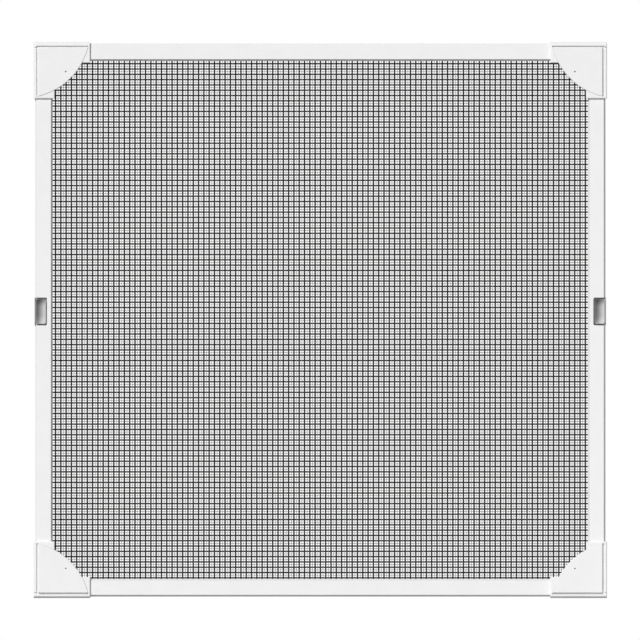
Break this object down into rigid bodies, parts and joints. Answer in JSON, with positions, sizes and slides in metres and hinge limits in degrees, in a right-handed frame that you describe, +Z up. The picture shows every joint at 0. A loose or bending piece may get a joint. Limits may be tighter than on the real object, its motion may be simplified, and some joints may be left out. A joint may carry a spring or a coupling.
{
  "type": "window insect screen",
  "caption": "Fixed window insect screen: white channel frame with curved corner covers, stretched woven net and pressed metal finger pulls.",
  "frame": {"origin": "centre of the whole box: middle of the width, of the height and of the depth over the corner covers and the corner housings' back lips", "axes": "+X across the window, +Y from the seen face to the back that lies on the window frame, +Z up"},
  "size_m": [0.6, 0.0136, 0.582],
  "materials": {
    "rail_white": "white powder coat, satin",
    "corner_white": "moulded white plastic, fine satin",
    "key_plastic": "moulded grey plastic",
    "pin_steel": "dull steel",
    "spline_rubber": "ribbed grey rubber",
    "net_grey": "woven coated glass yarn, open mesh",
    "pull_steel": "pressed and polished sheet steel"
  },
  "bodies": {
    "root": {"rail_bottom": "rail_white", "rail_top": "rail_white", "rail_left": "rail_white", "rail_right": "rail_white", "corner_key_bottom_left": "key_plastic", "corner_key_bottom_right": "key_plastic", "corner_key_top_left": "key_plastic", "corner_key_top_right": "key_plastic", "corner_housing_bottom_left": "corner_white", "corner_housing_bottom_right": "corner_white", "corner_housing_top_left": "corner_white", "corner_housing_top_right": "corner_white", "corner_cover_bottom_left": "corner_white", "corner_cover_bottom_right": "corner_white", "corner_cover_top_left": "corner_white", "corner_cover_top_right": "corner_white", "corner_pin_bottom_left": "pin_steel", "corner_pin_bottom_right": "pin_steel", "corner_pin_top_left": "pin_steel", "corner_pin_top_right": "pin_steel", "spline_bottom": "spline_rubber", "spline_top": "spline_rubber", "spline_left": "spline_rubber", "spline_right": "spline_rubber", "insect_net": "net_grey", "finger_pull_left": "pull_steel", "finger_pull_right": "pull_steel"}
  },
  "joints": []
}
